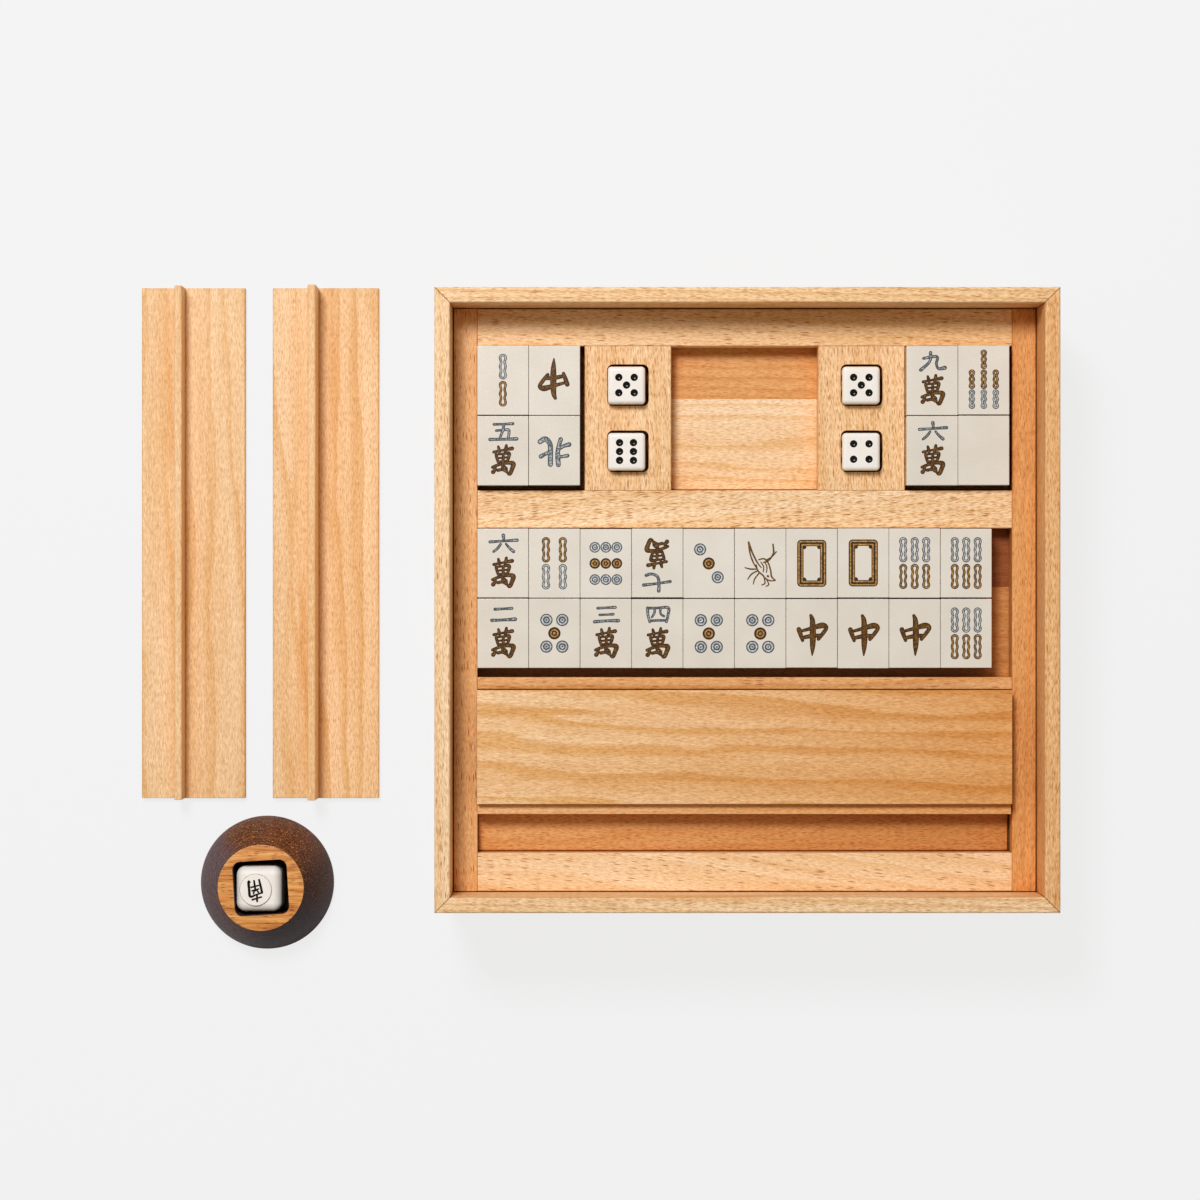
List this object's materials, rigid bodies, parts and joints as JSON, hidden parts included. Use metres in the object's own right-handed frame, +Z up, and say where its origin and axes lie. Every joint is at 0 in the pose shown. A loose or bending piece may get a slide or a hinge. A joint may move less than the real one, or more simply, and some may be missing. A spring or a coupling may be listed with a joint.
{
  "type": "mahjong case with drawers",
  "caption": "Square wooden mahjong case: a deep rim round a lift-out tray of tiles, dice and racks, over stacked tile drawers, with loose racks and a wind indicator.",
  "frame": {"origin": "the middle of the case's underside, on the table", "axes": "+Z up, +Y to the back, +X to the right; the drawers open towards -Y and the loose racks lie at -X"},
  "size_m": [0.3993, 0.2958, 0.0768],
  "materials": {
    "case_wood": "satin clear-coated beech",
    "tray_wood": "satin clear-coated beech",
    "drawer_wood": "satin clear-coated beech",
    "rack_wood": "satin clear-coated beech",
    "dark_wood": "dark satin lacquered hardwood",
    "tile_plastic": "polished warm white with engraved, painted markings",
    "dice_plastic": "polished ivory white with black marks"
  },
  "bodies": {
    "case": {"wall_left": "case_wood", "wall_right": "case_wood", "wall_back": "case_wood", "front_rail": "case_wood", "base_panel": "case_wood", "tray_ledge_left": "case_wood", "tray_ledge_right": "case_wood", "runner_lower_left": "case_wood", "runner_lower_right": "case_wood", "runner_upper_left": "case_wood", "runner_upper_right": "case_wood"},
    "tray": {"tray_floor": "tray_wood", "tray_rail_left": "tray_wood", "tray_rail_right": "tray_wood", "tray_bar_back": "tray_wood", "tray_bar_middle": "tray_wood", "tray_bar_divider": "tray_wood", "tray_bar_front": "tray_wood", "dice_block_left": "tray_wood", "dice_block_right": "tray_wood"},
    "lower_drawer": {"lower_drawer_bottom": "drawer_wood", "lower_drawer_front": "drawer_wood", "lower_drawer_side_left": "drawer_wood", "lower_drawer_side_right": "drawer_wood", "lower_drawer_back": "drawer_wood", "lower_drawer_tiles": "tile_plastic"},
    "upper_drawer": {"upper_drawer_bottom": "drawer_wood", "upper_drawer_front": "drawer_wood", "upper_drawer_side_left": "drawer_wood", "upper_drawer_side_right": "drawer_wood", "upper_drawer_back": "drawer_wood", "upper_drawer_tiles": "tile_plastic"},
    "tiles_back_left_1": {"tiles_back_left_1": "tile_plastic"},
    "tiles_back_left_2": {"tiles_back_left_2": "tile_plastic"},
    "tiles_back_right_1": {"tiles_back_right_1": "tile_plastic"},
    "tiles_back_right_2": {"tiles_back_right_2": "tile_plastic"},
    "tiles_row_01": {"tiles_row_01": "tile_plastic"},
    "tiles_row_02": {"tiles_row_02": "tile_plastic"},
    "tiles_row_03": {"tiles_row_03": "tile_plastic"},
    "tiles_row_04": {"tiles_row_04": "tile_plastic"},
    "tiles_row_05": {"tiles_row_05": "tile_plastic"},
    "tiles_row_06": {"tiles_row_06": "tile_plastic"},
    "tiles_row_07": {"tiles_row_07": "tile_plastic"},
    "tiles_row_08": {"tiles_row_08": "tile_plastic"},
    "tiles_row_09": {"tiles_row_09": "tile_plastic"},
    "tiles_row_10": {"tiles_row_10": "tile_plastic"},
    "die_1": {"die_1": "dice_plastic"},
    "die_2": {"die_2": "dice_plastic"},
    "die_3": {"die_3": "dice_plastic"},
    "die_4": {"die_4": "dice_plastic"},
    "rack_a": {"rack_a_plank": "rack_wood", "rack_a_rib": "rack_wood"},
    "rack_b": {"rack_b_plank": "rack_wood", "rack_b_rib": "rack_wood"},
    "rack_c": {"rack_c_plank": "rack_wood", "rack_c_rib": "rack_wood"},
    "rack_d": {"rack_d_plank": "rack_wood", "rack_d_rib": "rack_wood"},
    "indicator": {"indicator_body": "dark_wood"},
    "wind_die": {"indicator_die": "dice_plastic"}
  },
  "joints": [
    {"name": "lower_drawer_slide", "type": "slide", "parent": "case", "child": "lower_drawer", "axis": [0, -1, 0], "range_m": [0, 0.18]},
    {"name": "upper_drawer_slide", "type": "slide", "parent": "case", "child": "upper_drawer", "axis": [0, -1, 0], "range_m": [0, 0.18]},
    {"name": "tray_lift", "type": "slide", "parent": "case", "child": "tray", "axis": [0, 0, 1], "range_m": [0, 0.06]},
    {"name": "tiles_back_left_1_lift", "type": "slide", "parent": "tray", "child": "tiles_back_left_1", "axis": [0, 0, 1], "range_m": [0, 0.035]},
    {"name": "tiles_back_left_2_lift", "type": "slide", "parent": "tray", "child": "tiles_back_left_2", "axis": [0, 0, 1], "range_m": [0, 0.035]},
    {"name": "tiles_back_right_1_lift", "type": "slide", "parent": "tray", "child": "tiles_back_right_1", "axis": [0, 0, 1], "range_m": [0, 0.035]},
    {"name": "tiles_back_right_2_lift", "type": "slide", "parent": "tray", "child": "tiles_back_right_2", "axis": [0, 0, 1], "range_m": [0, 0.035]},
    {"name": "tiles_row_01_lift", "type": "slide", "parent": "tray", "child": "tiles_row_01", "axis": [0, 0, 1], "range_m": [0, 0.035]},
    {"name": "tiles_row_02_lift", "type": "slide", "parent": "tray", "child": "tiles_row_02", "axis": [0, 0, 1], "range_m": [0, 0.035]},
    {"name": "tiles_row_03_lift", "type": "slide", "parent": "tray", "child": "tiles_row_03", "axis": [0, 0, 1], "range_m": [0, 0.035]},
    {"name": "tiles_row_04_lift", "type": "slide", "parent": "tray", "child": "tiles_row_04", "axis": [0, 0, 1], "range_m": [0, 0.035]},
    {"name": "tiles_row_05_lift", "type": "slide", "parent": "tray", "child": "tiles_row_05", "axis": [0, 0, 1], "range_m": [0, 0.035]},
    {"name": "tiles_row_06_lift", "type": "slide", "parent": "tray", "child": "tiles_row_06", "axis": [0, 0, 1], "range_m": [0, 0.035]},
    {"name": "tiles_row_07_lift", "type": "slide", "parent": "tray", "child": "tiles_row_07", "axis": [0, 0, 1], "range_m": [0, 0.035]},
    {"name": "tiles_row_08_lift", "type": "slide", "parent": "tray", "child": "tiles_row_08", "axis": [0, 0, 1], "range_m": [0, 0.035]},
    {"name": "tiles_row_09_lift", "type": "slide", "parent": "tray", "child": "tiles_row_09", "axis": [0, 0, 1], "range_m": [0, 0.035]},
    {"name": "tiles_row_10_lift", "type": "slide", "parent": "tray", "child": "tiles_row_10", "axis": [0, 0, 1], "range_m": [0, 0.035]},
    {"name": "die_1_lift", "type": "slide", "parent": "tray", "child": "die_1", "axis": [0, 0, 1], "range_m": [0, 0.035]},
    {"name": "die_2_lift", "type": "slide", "parent": "tray", "child": "die_2", "axis": [0, 0, 1], "range_m": [0, 0.035]},
    {"name": "die_3_lift", "type": "slide", "parent": "tray", "child": "die_3", "axis": [0, 0, 1], "range_m": [0, 0.035]},
    {"name": "die_4_lift", "type": "slide", "parent": "tray", "child": "die_4", "axis": [0, 0, 1], "range_m": [0, 0.035]},
    {"name": "rack_c_lift", "type": "slide", "parent": "tray", "child": "rack_c", "axis": [0, 0, 1], "range_m": [0, 0.04]},
    {"name": "rack_d_lift", "type": "slide", "parent": "rack_c", "child": "rack_d", "axis": [0, 0, 1], "range_m": [0, 0.04]},
    {"name": "rack_a_lift", "type": "slide", "parent": "case", "child": "rack_a", "axis": [0, 0, 1], "range_m": [0, 0.06]},
    {"name": "rack_b_lift", "type": "slide", "parent": "case", "child": "rack_b", "axis": [0, 0, 1], "range_m": [0, 0.06]},
    {"name": "indicator_lift", "type": "slide", "parent": "case", "child": "indicator", "axis": [0, 0, 1], "range_m": [0, 0.06]},
    {"name": "wind_die_lift", "type": "slide", "parent": "indicator", "child": "wind_die", "axis": [0, 0, 1], "range_m": [0, 0.03]}
  ]
}
